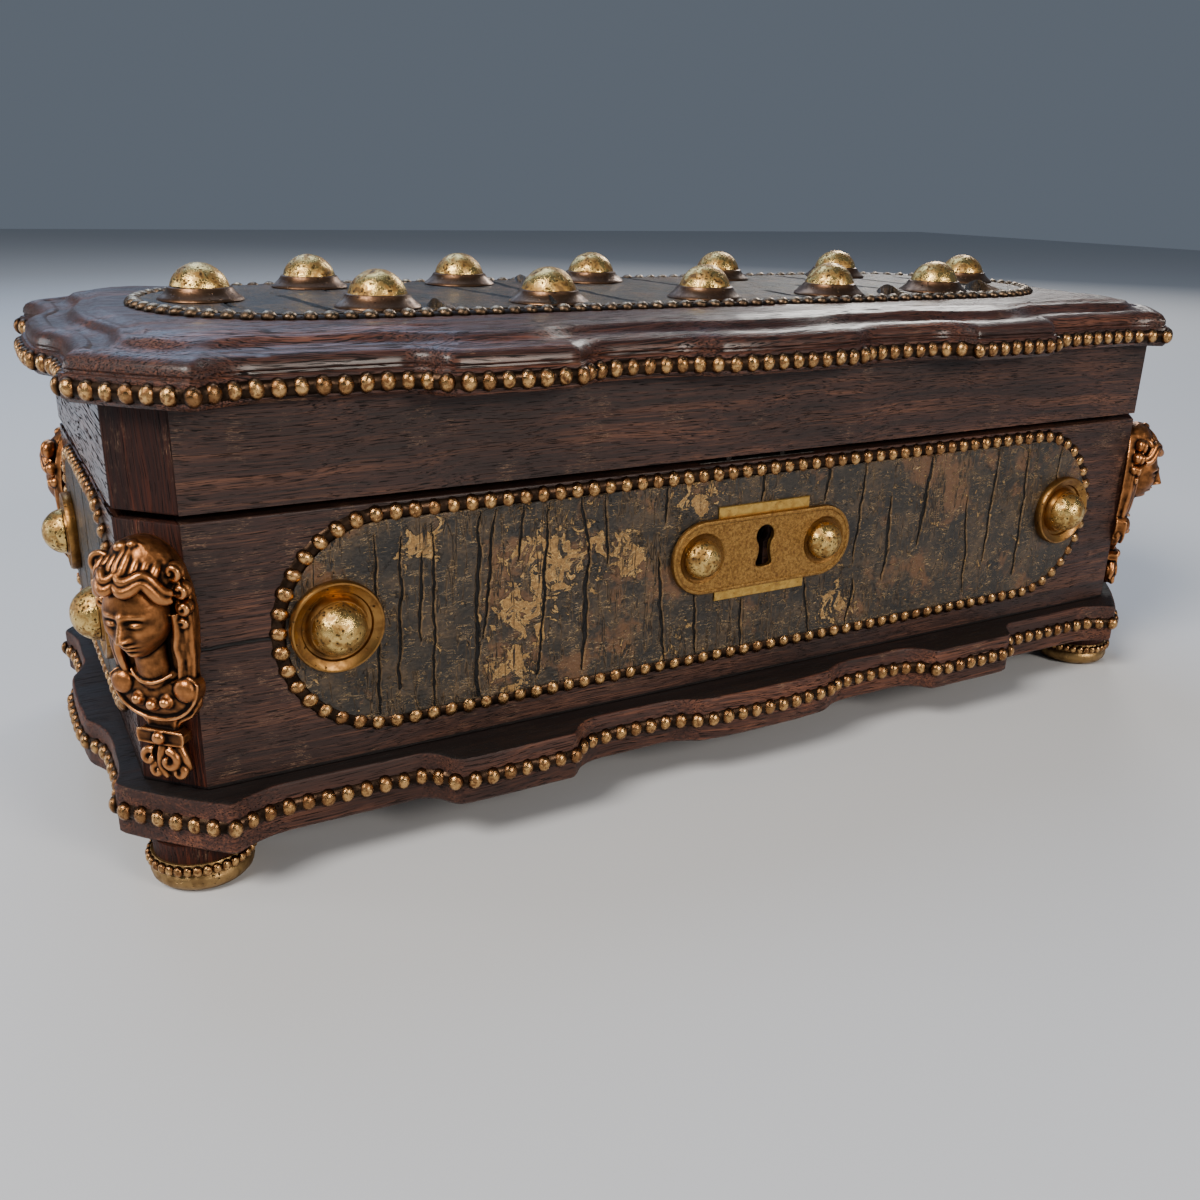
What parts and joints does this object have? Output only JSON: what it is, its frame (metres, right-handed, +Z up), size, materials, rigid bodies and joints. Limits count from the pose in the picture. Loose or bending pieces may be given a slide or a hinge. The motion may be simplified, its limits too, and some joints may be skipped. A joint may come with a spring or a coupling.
{
  "type": "jewelry casket",
  "caption": "Antique oak jewelry casket with a moulded serpentine lid and plinth, pearl beading, cracked hide panels, brass studs, a keyhole plate and corner masks.",
  "frame": {"origin": "on the ground at the centre of the feet", "axes": "+X along the length, to the right seen from the front; -Y faces the front with the keyhole; +Z up"},
  "size_m": [0.3097, 0.1424, 0.1213],
  "materials": {
    "oak": "dark aged oak, waxed",
    "hide": "cracked, glazed",
    "gilt": "worn gilding",
    "brass": "aged, pitted",
    "bronze": "cast, coppery, dark in the recesses",
    "steel": "dull",
    "cloth": "matt"
  },
  "bodies": {
    "case": {"base_board": "oak", "foot_necks": "oak", "case_front": "oak", "case_back": "oak", "case_left": "oak", "case_right": "oak", "case_corner_posts": "oak", "front_panel": "hide", "left_panel": "hide", "right_panel": "hide", "plinth_beads": "gilt", "foot_rings": "gilt", "front_panel_beads": "gilt", "left_panel_beads": "gilt", "right_panel_beads": "gilt", "foot_pads": "brass", "panel_rosettes": "brass", "panel_studs": "brass", "escutcheon_backplate": "brass", "escutcheon_plate": "brass", "escutcheon_studs": "brass", "case_hinge_leaves": "brass", "hinge_pins": "brass", "corner_masks": "bronze", "lock_case": "steel", "lock_cap": "steel", "lock_key_pin": "steel", "case_lining": "cloth"},
    "lid": {"lid_front": "oak", "lid_back": "oak", "lid_left": "oak", "lid_right": "oak", "lid_corner_posts": "oak", "lid_top": "oak", "lid_panel": "hide", "lid_edge_beads": "gilt", "lid_panel_beads": "gilt", "lid_stud_washers": "brass", "lid_studs": "brass", "lid_hinge_leaves": "brass", "lid_lining": "cloth", "link_plate": "steel", "link_staples": "steel"},
    "lock_bolt": {"lock_bolt": "steel"}
  },
  "joints": [
    {"name": "lid_hinge", "type": "hinge", "parent": "case", "child": "lid", "pos_m": [0, 0.06105, 0.0791], "axis": [-1, 0, 0], "range_deg": [0, 100]},
    {"name": "bolt_slide", "type": "slide", "parent": "case", "child": "lock_bolt", "axis": [-1, 0, 0], "range_m": [0, 0.004]}
  ]
}
